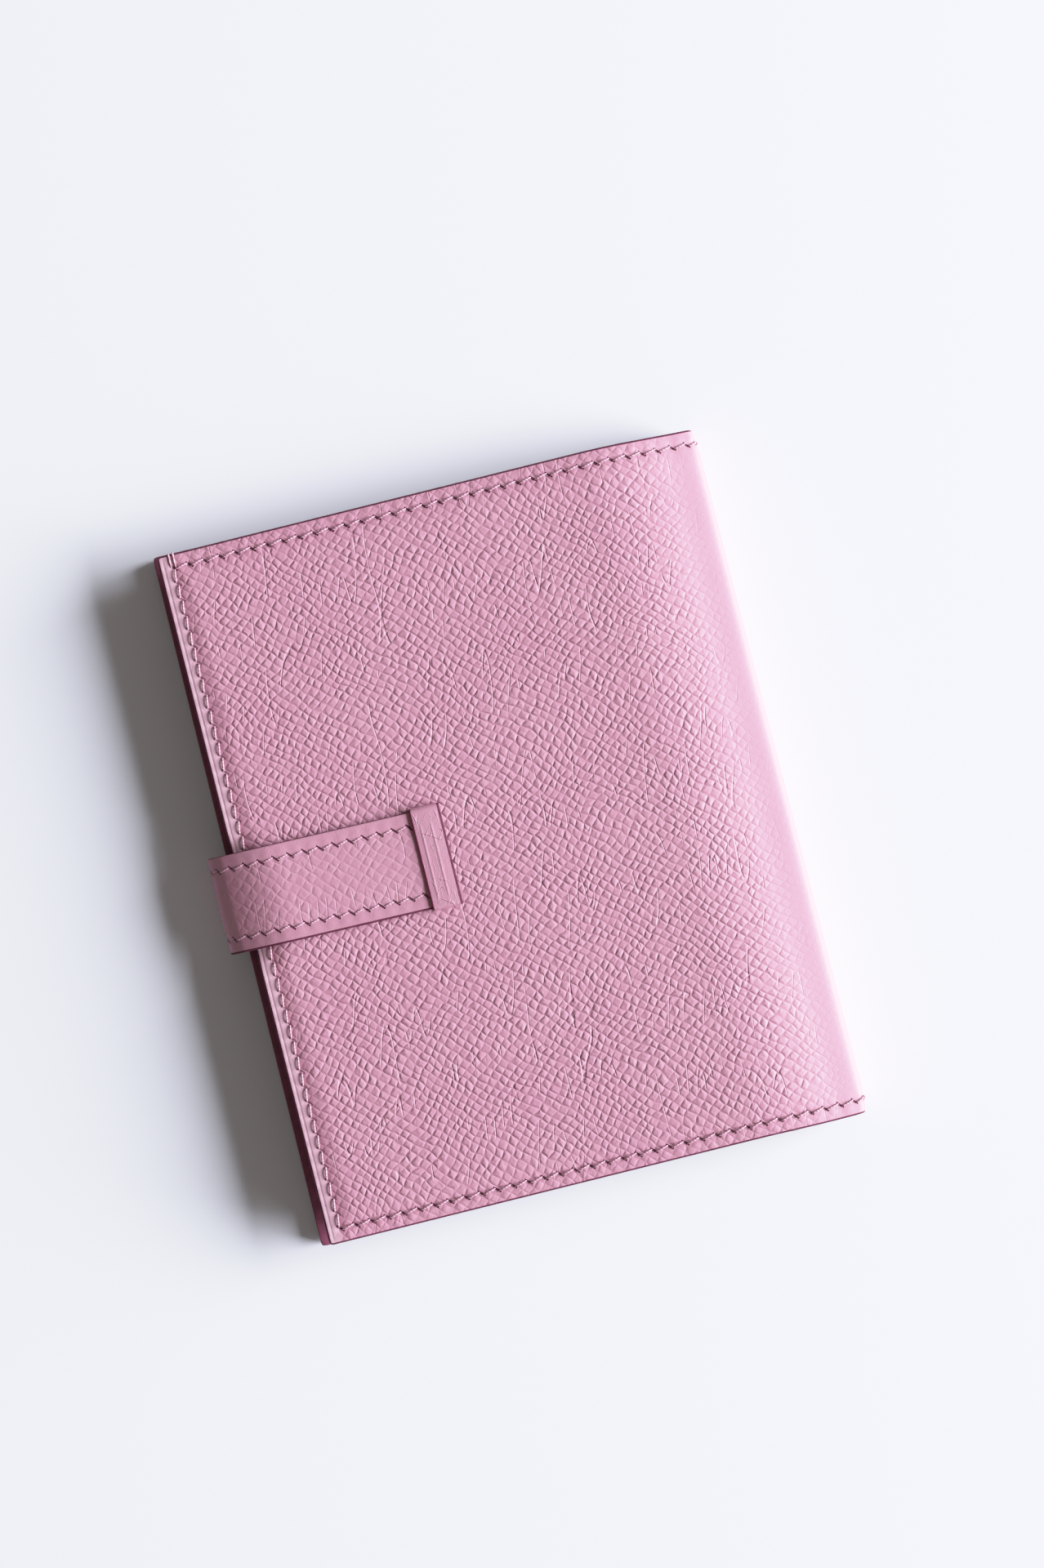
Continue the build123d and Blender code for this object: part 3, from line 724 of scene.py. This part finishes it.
def seam_normals(place, q, y, depth):
    """The outward normals of the whole hide along a seam."""
    small = 0.02
    along = place(q - small, y, depth) - place(q + small, y, depth)
    across = place(q, y + small, depth) - place(q, y - small, depth)
    normal = np.cross(along, across)
    outward = place(q, y, depth) - place(q, y, depth + small)
    return unit(normal * np.sign((normal * outward).sum(-1, keepdims=True)))


# ---- the covers and spine ----
GRID = 0.55  # the outer hide's usual grid step
LINING_GRID = 0.8
SPINE_BLEND_ANGLE = 75.0  # the spine bends along this direction, between these distances
SPINE_BLEND = (2.0, 8.4)
STRAP_BLEND_ANGLE = 25.0
STRAP_BLEND = (0.0, 4.1)


def bend(piece, corner, side, upper, angle, reach):
    """Bakes a piece's transform into its mesh. The points near and far, from its corner towards its
    middle, at which it would bend between two bodies are worked out but not used.
    """
    turn = math.radians(angle)
    across, up = side * math.cos(turn), (-1 if upper else 1) * math.sin(turn)
    near, far = [((corner[0] + across * r) * MM, 0, (corner[1] + up * r) * MM) for r in reach]
    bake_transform(piece)


def bend_with_spine(piece, front):
    """A piece of the covers crosses the spine's hinge on the front side or on the back side."""
    corner = (BEND_START, THICK if front else 0)
    bend(piece, corner, 1, front, SPINE_BLEND_ANGLE, SPINE_BLEND)


def bend_with_strap(piece, upper):
    """A piece of the strap crosses the strap's hinge over its bend's upper or lower half."""
    corner = (BACK_EDGE, STRAP_TOP if upper else STRAP_LOW)
    bend(piece, corner, -1, upper, STRAP_BLEND_ANGLE, STRAP_BLEND)


def cover_grid(front, step, radius):
    """Grid points over half of the hide, its corners rounded, with each point's inset."""
    u_fine = [(0.75, 1.55, 0.12), (2.2, 3.8, 0.23), (1.55, 2.2, 0.3), (3.8, 6.5, 0.4)]
    length = abs(Q_FRONT) if front else Q_BACK
    round_bend = [(length - 3.0, length, 0.22), (length - COVER.half, length - 3.0, 0.4)]
    u = with_rim(lines(0, length, step, u_fine + round_bend), True, False, radius)
    y_fine = [(-66.2, -64.3, 0.22), (64.3, 66.2, 0.22)]
    y = with_rim(lines(-HALF_HEIGHT, HALF_HEIGHT, step, y_fine), True, True, radius)
    edge, away = (Q_FRONT, 1) if front else (Q_BACK, -1)
    columns = edge + u * away
    columns = columns if front else columns[::-1]
    q, y = np.meshgrid(columns, y)
    return round_corners(q, y, edge, away)


def cover_values(q, y):
    """What the materials read on a piece of the cover."""
    rows, counts = row_marks(q, y)
    flat = np.stack([q, y, np.zeros_like(q)], -1)
    return {"flat": flat, "rows": rows, "count": counts, "grain": grain_strength(q, y)}


def skived(q):
    """How deep the outer hide may reach over the front board, which stays flat where the hide sags."""
    x = BEND_START - (np.abs(q) - COVER.half)
    depth = THICK - MID_Z - (THICK - OUTER - MID_Z) / COVER.kept(x) - CLEAR / 2
    return np.where(x < FRONT_BOARD_END, depth, OUTER)


def cover_sheet(front, layer, face, grid, top, under):
    """Half of a sheet of the covers, up to the middle of the spine, where its other half carries on."""
    cover = "front_" if front else "back_"
    name = cover + ("cover" if layer == "outer" else layer) + "_leather"
    values = cover_values(*grid[:2])
    piece = sheet_mesh(name, COVER.place, grid, top, under, [face, PAINT], values, -1 if front else 0)
    bend_with_spine(piece, front)
    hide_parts(cover + layer, "spine_" + layer)


def outer_half(front):
    """Half of the one outer hide: a cover with its side of the spine."""
    grid = cover_grid(front, GRID, EDGE_ROUND)
    q, y, inset = grid
    top = rounding(inset, EDGE_ROUND) - cover_relief(q, y)
    under = np.full_like(top, OUTER - CLEAR / 2)
    if front:
        under = np.minimum(under, skived(q))
    cover_sheet(front, "outer", LEATHER, grid, top, under)


def lining_half(front):
    """Half of the lining: it lies over the board, and meets the outer hide round the margins."""
    grid = cover_grid(front, LINING_GRID, EDGE_ROUND)
    q, y, inset = grid
    u = from_open_edge(q)
    on_board = step_up(np.minimum(u, HALF_HEIGHT - np.abs(y)), BOARD_MARGIN - 0.9, BOARD_MARGIN - 0.1)
    hidden = OUTER + CLEAR / 2 + (BOARD_IN - OUTER) * on_board
    if not front:
        over_root = step_up(STRAP_HALF + 0.6 - np.abs(y), 0, 0.5)
        over_root = over_root * step_up(ROOT_END - BACK_EDGE + 0.6 - u, 0, 0.5)
        hidden = np.maximum(hidden, OUTER + CLEAR + (BOARD_IN - OUTER) * over_root)
    rows, counts = row_marks(q, y)
    dips = sewn(rows[..., 0], counts[..., 0], -1) + sewn(np.abs(y) - END_ROW, counts[..., 1], 1)
    shown = INNER - rounding(inset, EDGE_ROUND) + 0.35 * np.minimum(dips, 0)
    cover_sheet(front, "lining", LINING, grid, hidden, shown)


for on_front in (True, False):
    outer_half(on_front)
    lining_half(on_front)


# ---- the passport sleeve and the card pockets ----
PANEL_ROUND = 0.2
PANEL_GRID = 1.0
NOTCH = 9.0  # the thumb notch's radius
POCKETS = ("card_pocket_rear", "card_pocket_middle", "card_pocket_front")


def panel_lines(low, high, *fine):
    """A panel's grid lines, rounded at both ends and finer by its rows of stitches."""
    marks = lines(low, high, PANEL_GRID, [(start, end, 0.3) for start, end in fine])
    return with_rim(marks, True, True, PANEL_ROUND)


def flat_panel(name, cad, grid, depths, body, ledge=0.0):
    """A thin panel on a cover's lining. Its outer face carries painted shade up to ledge from the open
    edge.
    """
    q, y, inset = grid
    outer = np.full_like(q, depths[0] + CLEAR)
    inner = depths[1] - rounding(inset, PANEL_ROUND)
    painted = np.where(from_open_edge(q) < ledge, HALF_HEIGHT, 0.12).ravel()
    # with a ledge, its face and walls carry painted shade
    faces = [LINING, LEDGE_SHADE if ledge else PAINT]
    values = cover_values(q, y)
    piece = sheet_mesh(name, COVER.place, grid, outer, inner, faces, values, None, painted)
    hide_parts(cad)
    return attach(piece, body)


def passport_sleeve():
    """The sleeve on the back cover, with a half-round thumb notch in its mouth."""
    width = SLEEVE_HIGH[0] - SLEEVE_LOW[0]
    q_lines = Q_BACK - panel_lines(0, width, (2.2, 3.8))[::-1]
    arc = NOTCH * np.sin(np.radians(np.linspace(-90, 90, 41)))
    plain = panel_lines(-HALF_HEIGHT, HALF_HEIGHT, (-66, -64.4), (64.4, 66))
    beside = plain[np.abs(plain) > NOTCH + 0.3]
    y_lines = np.array(sorted(set(np.round(np.concatenate([beside, arc]), 4))))
    q, y, inset = round_corners(*np.meshgrid(q_lines, y_lines), Q_BACK, -1)
    reach = width - np.sqrt(np.clip(NOTCH ** 2 - y ** 2, 0, None))
    share = (Q_BACK - q) / width
    grid = (Q_BACK - reach * share, y, np.minimum(inset, reach * (1 - share)))
    depths = (INNER, SLEEVE_HIGH[2])
    flat_panel("passport_sleeve_leather", "passport_sleeve", grid, depths, "back_cover", LEDGE)


def card_pocket(cad):
    """One card pocket on the front cover, with its straight mouth towards the top."""
    low, high = box_mm(cad)
    width = high[0] - low[0]
    q_lines = Q_FRONT + panel_lines(0, width, (2.2, 3.8))
    y_lines = panel_lines(-HALF_HEIGHT, high[1], (-66, -64.4))
    q, y, inset = round_corners(*np.meshgrid(q_lines, y_lines), Q_FRONT, 1)
    inset = np.minimum(inset, np.minimum(Q_FRONT + width - q, high[1] - y))
    flat_panel(cad + "_leather", cad, (q, y, inset), (THICK - high[2], THICK - low[2]), "front_cover")


passport_sleeve()
for pocket in POCKETS:
    card_pocket(pocket)


# ---- the strap ----
STRAP_GRID = 0.5
STRAP_SEWN = 0.45  # its rows are drawn in by this share of the cover's
STRAP_CROWN = 0.10
STRAP_ROUND, STRAP_LINING_ROUND = 0.35, 0.30
THINNED = 0.45  # how much thinner its root is
PAINTED = (0.41, 0.22)  # how far in its edge paint reaches, on its lower and its upper edge in Y
NO_ROW = 9.0  # a distance at which no row of stitches shows


def strap_values(q, y):
    """What the materials read on the strap, its count rising to the right as on the front cover."""
    zero = np.zeros_like(q)
    rows = np.stack([np.full_like(q, NO_ROW), y - np.sign(y) * STRAP_ROW, zero], -1)
    here = (np.abs(y) > STRAP_ROW / 2).astype(float)
    counts = np.stack([zero, -q / STRAP_PITCH, here], -1)
    margin = step_up(STRAP_ROW - np.abs(y), -0.5, 0.4)
    turn = step_up(np.abs(q), STRAP.half - 2.0, STRAP.half + 4.0)
    flat = np.stack([40 - q, y + 15, zero], -1)
    grain = (0.12 + 0.88 * margin) * (0.35 + 0.65 * turn)
    return {"flat": flat, "rows": rows, "count": counts, "grain": grain}


def strap_relief(q, y):
    """The strap's face: sewn rows with a soft crown between them."""
    across = np.abs(y) - STRAP_ROW
    crown = STRAP_CROWN * (step_up(-across, 0.2, 3.5) - 1)
    return STRAP_SEWN * sewn(across, q / STRAP_PITCH, 1) + crown


def strap_half(upper, lining):
    """Half of one of the strap's two layers, on one side of the middle of its bend.

    Past the bend its lower half is thinned and tucked in between the back cover's layers.
    """
    end = STRAP.q_of(TIP_HIGH[0], True)
    root = STRAP.half if lining else STRAP.q_of(ROOT_END, False)
    low_q, high_q = (end, 0.0) if upper else (0.0, root)
    fine = [(-STRAP.half - 1.5, STRAP.half + 1.5, 0.2)]
    q_lines = with_rim(lines(low_q, high_q, 0.45, fine), upper, False, EDGE_ROUND)
    y_fine = [(-7.7, -5.7, 0.2), (5.7, 7.7, 0.2)]
    y_lines = with_rim(lines(-STRAP_HALF, STRAP_HALF, STRAP_GRID, y_fine), True, True, EDGE_ROUND)
    q, y = np.meshgrid(q_lines, y_lines)
    inset = STRAP_HALF - np.abs(y)
    if upper:
        inset = np.minimum(inset, q - end)
    tucked = step_up(q, STRAP.half - 1.2, STRAP.half + 0.3)
    joint = STRAP_LEATHER + (BOARD_IN - OUTER - CLEAR - STRAP_LEATHER) * tucked
    if lining:
        top = joint + CLEAR / 2
        under = STRAP_THICK - CLEAR - rounding(inset, STRAP_LINING_ROUND) - THINNED * tucked
        under = np.maximum(under, top + 2 * CLEAR)
        face, slot = LINING, "lining_leather"
    else:
        top = CLEAR * tucked + (rounding(inset, STRAP_ROUND) - strap_relief(q, y)) * (1 - tucked)
        under = joint - CLEAR / 2
        face, slot = STRAP_HIDE, "grained_leather"
    name = "strap_" + ("lining_" if lining else "leather_") + ("upper" if upper else "lower")
    seam = -1 if upper else 0
    grid, values = (q, y, inset), strap_values(q, y)
    painted = np.where(y < 0, *PAINTED).ravel()
    piece = sheet_mesh(name, STRAP.place, grid, top, under, [face, PAINT], values, seam, painted, True)
    bend_with_strap(piece, upper)
    stem = "strap_lining_" if lining else "strap_"
    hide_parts(stem + ("tip" if upper else "root"), stem + "bend")


for is_upper in (True, False):
    for is_lining in (True, False):
        strap_half(is_upper, is_lining)


# ---- the keeper ----
KEEPER_LEATHER = 0.45
KEEPER_WIDER = 0.34  # than in the CAD
KEEPER_ASIDE = 0.35  # and its middle this far nearer the spine
KEEPER_TURN = 0.75  # the radius of its middle line where it turns down
KEEPER_SIDE = STRAP_HALF + 0.05 + KEEPER_LEATHER
KEEPER_DRIFT = -0.5  # it stands this far off the middle of the cover


def rounded_path(corners, radius, arc_steps=7, pace=0.6):
    """Points along a path in Y and Z, with its inner corners turned on arcs."""
    path = [np.array(corners[0], float)]
    for before, corner, after in zip(corners, corners[1:], corners[2:]):
        corner = np.array(corner, float)
        a, b = unit(np.array(before) - corner), unit(np.array(after) - corner)
        middle = corner + (a + b) * radius
        for turn in np.linspace(0, math.pi / 2, arc_steps):
            path.append(middle - b * radius * math.cos(turn) - a * radius * math.sin(turn))
    path.append(np.array(corners[-1], float))
    dense = [path[0]]
    for point in path[1:]:
        count = max(1, int(np.linalg.norm(point - dense[-1]) / pace))
        dense += [dense[-1] + (point - dense[-1]) * n / count for n in range(1, count + 1)]
    return np.array(dense)


def keeper_section(width, thick, steps=42):
    """The keeper's section as (across, out from its middle line, ridge), and its upper points' count."""
    half = width / 2
    across = np.linspace(-half + 0.25, half - 0.34, steps)
    ridges = 0.075 * (gauss(across + 1.45, 0.17) + gauss(across - 0.62, 0.17))
    crown = 0.10 * (1 - (across / half) ** 2) - 0.05
    upper = [(a, thick / 2 + c, r) for a, c, r in zip(across, crown, ridges)]
    right = [(half - 0.07, thick / 2 - 0.10, 0), (half, thick / 4, 0), (half, -thick / 4, 0),
             (half - 0.1, -thick / 2 + 0.05, 0)]
    lower = [(a, -thick / 2, 0) for a in np.linspace(half - 0.25, 0.25 - half, 8)]
    left = [(-a, b, 0) for a, b, _ in reversed(right)]
    return upper + right + lower + left, len(upper)


def keeper_loop():
    """The keeper: a narrow bridge over the strap whose ends go in and lie flat under the leather."""
    middle = STRAP_TOP + 0.03 + KEEPER_LEATHER / 2
    leg = KEEPER_SIDE - KEEPER_LEATHER / 2
    inside = THICK - (OUTER + BOARD_IN) / 2
    far = KEEPER_HIGH[1]
    corners = [(-far, inside), (-leg, inside), (-leg, middle), (leg, middle), (leg, inside), (far, inside)]
    path = rounded_path(corners, KEEPER_TURN)
    centre = (KEEPER_HIGH[0] + KEEPER_LOW[0]) / 2 + KEEPER_ASIDE
    section, shown = keeper_section(KEEPER_HIGH[0] - KEEPER_LOW[0] + KEEPER_WIDER, KEEPER_LEATHER)
    tangent = unit(np.gradient(path, axis=0))
    normal = np.stack([-tangent[:, 1], tangent[:, 0]], 1)
    length = np.concatenate([[0], np.cumsum(np.linalg.norm(np.diff(path, axis=0), axis=1))])
    points, flat = [], []
    for (y, z), (ny, nz), travelled in zip(path, normal, length):
        wrinkled = 1 - step_up(abs(y + 0.9), 5.8, 8.2)  # the ridges die out towards the keeper's ends
        for across, out, ridge in section:
            far_out = out + ridge * wrinkled
            points.append((centre + across, y + KEEPER_DRIFT + ny * far_out, z + nz * far_out))
            flat.append((across, travelled, 0))
    n, m = len(path), len(section)
    index = np.arange(n * m).reshape(n, m)
    faces = tube_faces(index)[:, ::-1].tolist() + [index[0].tolist(), index[-1, ::-1].tolist()]
    # round the section: leather above, paint towards the spine, leather below, and paint with painted
    # shade on the side away from the light
    kinds = ([0] * (shown - 2) + [1] * 6 + [0] * 7 + [2] * 5) * (n - 1) + [1, 1]
    values = {"flat": np.array(flat), "rows": np.full((n * m, 3), NO_ROW), "count": np.zeros((n * m, 3))}
    piece = build("keeper_loop", points, faces, [KEEPER, PAINT, GAP_SHADE_PAINT], kinds, values)
    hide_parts("keeper")
    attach(piece, "front_cover")


keeper_loop()


# ---- stitches ----
THREAD_RADIUS = 0.18
STRAP_THREAD_RADIUS = 0.17
AROUND = 8  # points round a thread
ALONG = 9  # and rings along a stitch
SLANT_END = 0.38  # how far a stitch of the end rows leans over its length, each way
SLANT_SIDE = 0.24
OUT_LIFT = -0.02  # the thread's middle over the plain face
STRAP_LIFT = -0.06
BACK_LIFT = -0.30  # the holder lies on these
SUNK = 0.50  # how deep its ends go
CORNER_PAIR = (-0.42, 0.42)  # two stitches go over the edge, this far aside from the corner hole
POCKET_ROW_INSET = 1.5  # the row that closes the card pockets, from their spine side


class Stitches:
    """Many short stitches gathered into one mesh."""

    def __init__(self):
        self.points, self.faces, self.flat = [], [], []

    def add(self, path, travelled, radius=THREAD_RADIUS):
        """A stitch along a path, thinner where it goes into its holes."""
        path = np.asarray(path)
        tangent = unit(np.gradient(path, axis=0))
        up = path[len(path) // 2] - (path[0] + path[-1]) / 2
        side = unit(np.cross(path[-1] - path[0], up))
        first = len(self.points)
        share = np.linspace(0, 1, len(path))
        girth = radius * (0.62 + 0.38 * np.sin(np.pi * share) ** 0.6)
        for point, direction, size, part in zip(path, tangent, girth, share):
            rise = np.cross(side, direction)
            for n in range(AROUND):
                turn = 2 * math.pi * n / AROUND
                self.points.append(point + size * (math.cos(turn) * side + math.sin(turn) * rise))
                self.flat.append((travelled + part * PITCH, turn, 0.0))
        rings = np.arange(len(path) * AROUND).reshape(len(path), AROUND) + first
        self.faces += tube_faces(rings).tolist() + [rings[0, ::-1].tolist(), rings[-1].tolist()]

    def build(self, name, nodes):
        """The mesh of all the stitches, in place of these CAD nodes."""
        piece = build(name, self.points, self.faces, [THREAD], None, {"flat": np.array(self.flat)})
        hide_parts(*nodes)
        return piece


def between(start, end, lean, t):
    """Flat coordinates from one hole to the next, leaning sideways by lean at both ends."""
    q = start[0] + (end[0] - start[0]) * t + lean[0] * (2 * t - 1)
    y = start[1] + (end[1] - start[1]) * t + lean[1] * (2 * t - 1)
    return q, y


def outer_stitch(place, start, end, lean, lift):
    """A stitch that rises from one hole, crosses over to the next and sinks again."""
    t = np.linspace(0.09, 0.91, ALONG)
    arch = np.sin(np.pi * (t - 0.05) / 0.9) ** 0.55
    return place(*between(start, end, lean, t), SUNK - (SUNK + lift) * arch)


def inner_stitch(start, end, lean, front):
    """A stitch on the inner face, where depths run the other way."""
    t = np.linspace(0.03, 0.97, ALONG)
    q, y = between(start, end, (-lean[0], -lean[1]), t)
    return COVER.place(q, y, inner_face(q, y, front) - 0.4 + 0.5 * np.sin(np.pi * t) ** 0.55)


def cover_stitches(front):
    """All the stitches of one cover and its side of the spine, outside and inside."""
    made = Stitches()
    pitch, count = (FRONT_PITCH, FRONT_STITCHES) if front else (BACK_PITCH, BACK_STITCHES)
    way = -1 if front else 1
    corner = way * count * pitch
    lift = OUT_LIFT if front else BACK_LIFT
    holes = []
    for y_row in (-END_ROW, END_ROW):
        for n in range(count):
            ends = [(way * n * pitch, y_row), (way * (n + 1) * pitch, y_row)]
            holes.append((n, *sorted(ends), (0, SLANT_END)))
    for n in range(SIDE_STITCHES):
        start, end = (corner, -END_ROW + n * SIDE_PITCH), (corner, -END_ROW + (n + 1) * SIDE_PITCH)
        holes.append((n, start, end, (SLANT_SIDE, 0)))
    for n, start, end, lean in holes:
        made.add(outer_stitch(COVER.place, start, end, lean, lift), n * pitch)
        made.add(inner_stitch(start, end, lean, front), n * pitch)
    if front:
        for aside in CORNER_PAIR:
            made.add(stitch_over_edge(corner + aside), 0)
    cover = "front" if front else "back"
    piece = made.build(cover + "_cover_thread", (cover + "_stitching", "spine_stitching"))
    bend_with_spine(piece, front)


def stitch_over_edge(q):
    """A stitch of the front cover's top corner, from the end row out over the top edge and back inside."""
    y = np.linspace(END_ROW - 0.1, HALF_HEIGHT - 0.08, 8)
    face = rounding(HALF_HEIGHT - y, EDGE_ROUND) - cover_relief(np.full_like(y, q), y)
    face[0] += 0.35
    inside = np.linspace(HALF_HEIGHT - 0.1, END_ROW, 4)
    all_y = np.concatenate([y, [HALF_HEIGHT + 0.1, HALF_HEIGHT + 0.1], inside])
    depth = np.concatenate([face - 0.08, [1.0, INNER - 0.5], np.full(4, INNER + 0.08)])
    depth[-1] -= 0.4
    return COVER.place(np.full_like(all_y, q), all_y, depth)


def inner_face(q, y, front):
    """How deep the innermost face lies here, counting the sleeve or the card pockets."""
    depth = np.full_like(q, INNER)
    if front:
        for cad in POCKETS:
            low, high = box_mm(cad)
            edge = Q_FRONT + high[0] - low[0]
            inside = step_up(edge + 0.3 - q, 0, 0.3) * step_up(high[1] + 0.3 - y, 0, 0.3)
            depth = depth + (high[2] - low[2]) * inside
    else:
        mouth = Q_BACK - (SLEEVE_HIGH[0] - SLEEVE_LOW[0])
        depth = depth + (SLEEVE_HIGH[2] - SLEEVE_LOW[2]) * step_up(q - mouth + 0.3, 0, 0.3)
    return depth


for on_front in (True, False):
    cover_stitches(on_front)


def strap_stitches(upper):
    """The strap's two rows over its upper or lower half."""
    made = Stitches()
    reach = -STRAP.q_of(TIP_HIGH[0], True) if upper else STRAP.half
    way = -1 if upper else 1
    for y_row in (-STRAP_ROW, STRAP_ROW):
        for n in range(int(reach / STRAP_PITCH)):
            holes = [(way * n * STRAP_PITCH, y_row), (way * (n + 1) * STRAP_PITCH, y_row)]
            start, end = holes if upper else reversed(holes)
            path = outer_stitch(STRAP.place, start, end, (0, SLANT_END), STRAP_LIFT)
            made.add(path, n * STRAP_PITCH, STRAP_THREAD_RADIUS)
    name = "strap_thread_upper" if upper else "strap_thread_lower"
    nodes = ("strap_tip_stitching", "strap_bend_stitching") if upper else ("strap_bend_stitching",)
    bend_with_strap(made.build(name, nodes), upper)


for is_upper in (True, False):
    strap_stitches(is_upper)


def pocket_stitches():
    """The row that closes the card pockets on their spine side."""
    made = Stitches()
    low, high = box_mm("card_pocket_rear")
    row_q = Q_FRONT + high[0] - low[0] - POCKET_ROW_INSET
    count = int((high[1] + END_ROW - PITCH) / PITCH)
    for n in range(count):
        start = (row_q, -END_ROW + PITCH * (n + 1))
        end = (row_q, start[1] + PITCH)
        made.add(inner_stitch(start, end, (SLANT_SIDE, 0), True), n * PITCH)
    piece = made.build("pocket_thread", ("pocket_stitching",))
    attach(piece, "front_cover")


pocket_stitches()


# ---- the boards keep their CAD shape ----
for board in ("back_board", "front_board"):
    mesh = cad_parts[board].data
    mesh.materials.clear()
    mesh.materials.append(BOARD)


# ---- floor, light and camera ----
def add_floor():
    """The table top, just under the holder."""
    size, drop = 3000.0, -0.05
    marks = np.linspace(-size, size, 9)
    x, y = np.meshgrid(marks, marks)
    points = np.stack([x, y, np.full_like(x, drop)], -1).reshape(-1, 3)
    build("floor", points, grid_faces(np.arange(81).reshape(9, 9)), [TABLE])


def add_area(name, azimuth, elevation, distance, size, power, colour):
    """A soft light aimed at the holder."""
    light = bpy.data.lights.new(name, "AREA")
    light.shape = "RECTANGLE"
    light.size, light.size_y = size
    light.energy = power
    light.color = colour
    lamp = bpy.data.objects.new(name, light)
    bpy.context.scene.collection.objects.link(lamp)
    a, e = math.radians(azimuth), math.radians(elevation)
    out = distance * math.cos(e)
    lamp.location = (out * math.cos(a), out * math.sin(a), distance * math.sin(e))
    lamp.rotation_euler = (math.pi / 2 - e, 0, a + math.pi / 2)


def add_world(colour, strength):
    """Weak light from all round."""
    world = bpy.data.worlds.new("studio")
    world.use_nodes = True
    shade = next(n for n in world.node_tree.nodes if n.type == "BACKGROUND")
    shade.inputs["Color"].default_value = colour
    shade.inputs["Strength"].default_value = strength
    bpy.context.scene.world = world


CAMERA_AT = (0.00666, 0.00896)
CAMERA_HEIGHT = 0.480  # over the front cover
CAMERA_TURN = -14.0
LENS = 57.62


def add_camera():
    """Straight above the holder, which lies turned in the picture."""
    lens = bpy.data.cameras.new("camera")
    lens.lens = LENS
    lens.sensor_width = 36.0
    camera = bpy.data.objects.new("camera", lens)
    camera.location = (*CAMERA_AT, THICK * MM + CAMERA_HEIGHT)
    camera.rotation_euler = (0, 0, math.radians(CAMERA_TURN))
    bpy.context.scene.collection.objects.link(camera)
    bpy.context.scene.camera = camera


TONES = ((0.45, 0.45), (0.64, 0.617), (0.80, 0.735), (1.0, 0.84), (1.25, 0.905), (1.5, 0.955))


def set_tone():
    """A plain tone curve that keeps its middle and rolls off gently towards white."""
    view = bpy.context.scene.view_settings
    view.view_transform = "Standard"
    view.use_curve_mapping = True
    mapping = view.curve_mapping
    mapping.clip_max_x = 2.0
    mapping.clip_max_y = 1.0
    curve = mapping.curves[3]
    curve.points[0].location = (0.0, 0.0)
    curve.points[-1].location = (2.0, 1.0)
    for light, shown in TONES:
        curve.points.new(light, shown)
    mapping.update()


add_camera()
add_floor()
add_area("window", azimuth=-8.0, elevation=21.2, distance=2.6, size=(2.21, 1.60), power=301.0,
         colour=(0.97, 0.99, 1.08))
add_world(colour=(1.0, 0.90, 0.80, 1.0), strength=0.195)
set_tone()
